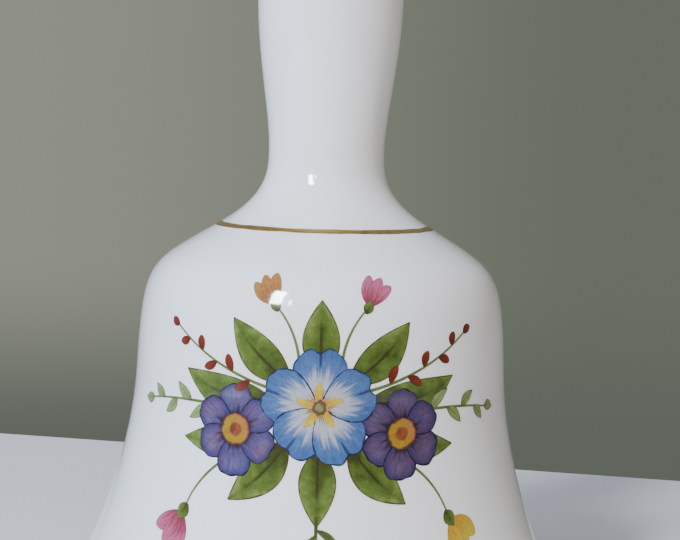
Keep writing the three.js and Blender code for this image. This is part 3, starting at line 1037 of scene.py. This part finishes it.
def collar():
    inner = plug_high.x + FIT_GAP
    underside = (CUP[-1] - CUP_NORMALS[-1] * CUP_WALL)[1] - FIT_GAP
    corners = [
        (inner, collar_low.z + 0.1 * MM),
        (inner + 0.9 * MM, collar_low.z + 0.1 * MM),
        (collar_high.x - 0.2 * MM, underside - 0.35 * MM),
        (collar_high.x - 0.2 * MM, underside),
        (CROWN_HOLE_RADIUS - 2 * FIT_GAP, underside),
        (CROWN_HOLE_RADIUS - 2 * FIT_GAP, collar_high.z),
        (inner, collar_high.z),
    ]
    outline = divided(rounded(corners, 0.25 * MM), 0.25 * MM)
    thing = lathe("plaster_collar", outline, 96, 50, lumpy(0.18 * MM, 0.7, underside - 0.1 * MM))
    place(thing, plaster_material(), "bell", ["plug_cement"])


def washer(brass):
    corners = [
        (PIN_BORE, washer_low.z),
        (washer_high.x, washer_low.z),
        (washer_high.x, washer_high.z),
        (PIN_BORE, washer_high.z),
    ]
    thing = lathe("washer", rounded(corners, 0.14 * MM), 64, 60)
    place(thing, brass, "bell", ["hanger_washer"])


def loop_path(from_stem, ring_reach, steps=72):
    """A ring that a straight stem bends into, as (sideways, along) points with the ring's centre at 0.

    The stem lies on the line sideways = 0, on the positive side, and the path starts from it.
    """
    height = math.sqrt((RING + BEND) ** 2 - BEND ** 2)
    lean = math.degrees(math.atan2(BEND, height))
    stem = np.stack([np.zeros(12), np.linspace(from_stem, height + 0.1 * MM, 12)], 1)
    bend = arc((BEND, height), BEND, 180, 270 - lean, 8)
    start = 90 - lean
    ring = arc((0, 0), RING, start, start - ring_reach, steps)
    return np.vstack([stem, bend, ring[1:]])


def eye(brass):
    points = loop_path(eye_high.z - 0.3 * MM - EYE_Z, 307)
    path = [(0, y, EYE_Z + z) for y, z in points]
    place(tube("eye_wire", path, WIRE), brass, "hanger", ["hanger_eye"])
    top = eye_high.z
    under = top - 0.6 * MM
    corners = [
        (0.3 * MM, under),
        (1.5 * MM, under),
        (1.42 * MM, under + 0.32 * MM),
        (0.75 * MM, top),
        (0.3 * MM, top),
    ]
    head = rounded(corners, 0.22 * MM)
    head = np.vstack([[(0, under)], head[(head[:, 0] > 0.45 * MM)], [(0, top)]])
    place(lathe("eye_head", head, 48, 50), brass, "hanger")


def stem(brass):
    """The stem's ring is bent over the eye, and its tail is wound round the stem."""
    points = loop_path(STEM_RING_Z - wire_low.z - 0.3 * MM, 300)
    run = [Vector((-x, 0, STEM_RING_Z - z)) for x, z in points]
    coil_radius = 2 * WIRE + 0.03 * MM
    last = run[-1]
    heading = (run[-1] - run[-2]).normalized()
    coil = []
    for k in range(70):
        turn = math.radians(150 + 12 * k)
        z = last.z - 1.55 * MM - 2.1 * WIRE * (12 * k) / 360
        coil.append(Vector((coil_radius * math.cos(turn), coil_radius * math.sin(turn), z)))
    entry = (coil[1] - coil[0]).normalized()
    reach = (coil[0] - last).length * 0.55
    lead = cubic(last, last + heading * reach, coil[0] - entry * reach, coil[0], 12)
    run += [Vector(point) for point in lead[1:-1]]
    place(tube("clapper_stem", run + coil, WIRE), brass, "clapper", ["clapper_wire"])


def bead():
    radius = (bead_high.x - bead_low.x) / 2
    centre = (bead_low.z + bead_high.z) / 2
    bore = 0.95 * MM
    pole = math.degrees(math.asin((bore + 0.35 * MM) / radius))
    outside = arc((0, centre), radius, -90 + pole, 90 - pole, 80)
    top = centre + math.sqrt(radius ** 2 - bore ** 2)
    low = 2 * centre - top
    lip = [(bore + 0.1 * MM, top - 0.02 * MM), (bore, top - 0.25 * MM)]
    foot = [(bore, low + 0.25 * MM), (bore + 0.1 * MM, low + 0.02 * MM)]
    profile = np.vstack([outside, lip, foot])
    glaze = china_material("bead_china", (0.78, 0.775, 0.77), (0.76, 0.735, 0.70), 0.5)
    thing = lathe("bead", profile, 128, 60, lumpy(0.04 * MM, 0.25))
    place(thing, glaze, "bead", ["clapper_bead"])


def crimp(brass):
    bore = 0.65 * MM
    corners = [
        (bore, crimp_low.z),
        (crimp_high.x, crimp_low.z),
        (crimp_high.x, crimp_high.z),
        (bore, crimp_high.z),
    ]
    middle = (crimp_low.z + crimp_high.z) / 2

    def squeezed(r, z, turn):
        if r < 0.9 * MM:
            return r, z
        bite = math.exp(-((z - middle) / (0.55 * MM)) ** 2) * math.cos(turn) ** 6
        return r * (1 - 0.22 * bite), z

    outline = divided(rounded(corners, 0.45 * MM), 0.12 * MM)
    thing = lathe("crimp", outline, 64, 50, squeezed)
    place(thing, brass, "clapper", ["clapper_crimp"])


plug()
collar()
brass = brass_material()
washer(brass)
eye(brass)
stem(brass)
bead()
crimp(brass)

# ---- Floor, light and air ----


def floor_material():
    material, tree, shader = material_tree("floor", (0.62, 0.61, 0.59), 0.6)
    grain = noise_at(tree, place_on(tree), 60, 3)
    feed(tree, shader.inputs["Base Color"], mixed(tree, grain, (0.66, 0.66, 0.655), (0.70, 0.70, 0.69)))
    return material


def add_floor():
    """A pale painted shelf with rounded edges. Its far edge runs close behind the bell."""
    width, depth, thick = 0.9, 0.62, 0.02
    far_edge = 0.1155
    bpy.ops.mesh.primitive_cube_add(size=1)
    floor = bpy.context.object
    floor.name = "floor"
    floor.data.transform(((width, 0, 0, 0), (0, depth, 0, 0), (0, 0, thick, 0), (0, 0, 0, 1)))
    floor.location = (0, far_edge - depth / 2, -thick / 2)
    floor.rotation_euler = (0, 0, math.radians(-13.3))
    bevel = floor.modifiers.new("bevel", "BEVEL")
    bevel.width = 3 * MM
    bevel.segments = 4
    floor.data.materials.append(floor_material())


def add_light(name, direction, distance, size, power, colour, glossy=True):
    """An area light that faces the bell from a direction, distance metres away."""
    data = bpy.data.lights.new(name, "AREA")
    data.shape = "RECTANGLE"
    data.size, data.size_y = size
    data.energy = power
    data.color = colour
    lamp = bpy.data.objects.new(name, data)
    bpy.context.scene.collection.objects.link(lamp)
    target = Vector((0, 0, 0.05))
    outward = Vector(direction).normalized()
    lamp.location = target + outward * distance
    lamp.rotation_euler = (-outward).to_track_quat("-Z", "Y").to_euler()
    lamp.visible_glossy = glossy


def add_world():
    """Grey-green air, darker towards the right and low down, lighter overhead."""
    world = bpy.data.worlds.new("air")
    bpy.context.scene.world = world
    world.use_nodes = True
    tree = world.node_tree
    background = tree.nodes["Background"]
    direction = tree.nodes.new("ShaderNodeTexCoord").outputs["Generated"]
    split = tree.nodes.new("ShaderNodeSeparateXYZ")
    feed(tree, split.inputs["Vector"], direction)
    side = smooth(tree, split.outputs["X"], -0.16, 0.15)
    wall = mixed(tree, side, (0.285, 0.30, 0.245), (0.143, 0.163, 0.128))
    shade = smooth(tree, split.outputs["Z"], -0.175, -0.075)
    wall = mixed(tree, shade, (0.120, 0.135, 0.115), wall)
    ceiling = smooth(tree, split.outputs["Z"], 0.15, 0.7)
    feed(tree, background.inputs["Color"], mixed(tree, ceiling, wall, (0.52, 0.56, 0.64)))
    background.inputs["Strength"].default_value = 1.0


add_world()
add_floor()
add_light("window", (-0.43, -0.72, 0.545), 1.0, (0.12, 0.32), 14.5, (0.83, 0.90, 1.0))
add_light("window_edge", (-0.32, -0.83, 0.45), 1.0, (0.03, 0.10), 0.5, (0.9, 0.95, 1.0))
add_light("left_side", (-0.85, -0.40, 0.35), 0.9, (0.7, 0.7), 5.6, (0.36, 0.58, 1.0), False)
add_light("right_front", (0.50, -0.83, 0.25), 1.0, (0.5, 0.5), 1.9, (1.0, 0.56, 0.12), False)
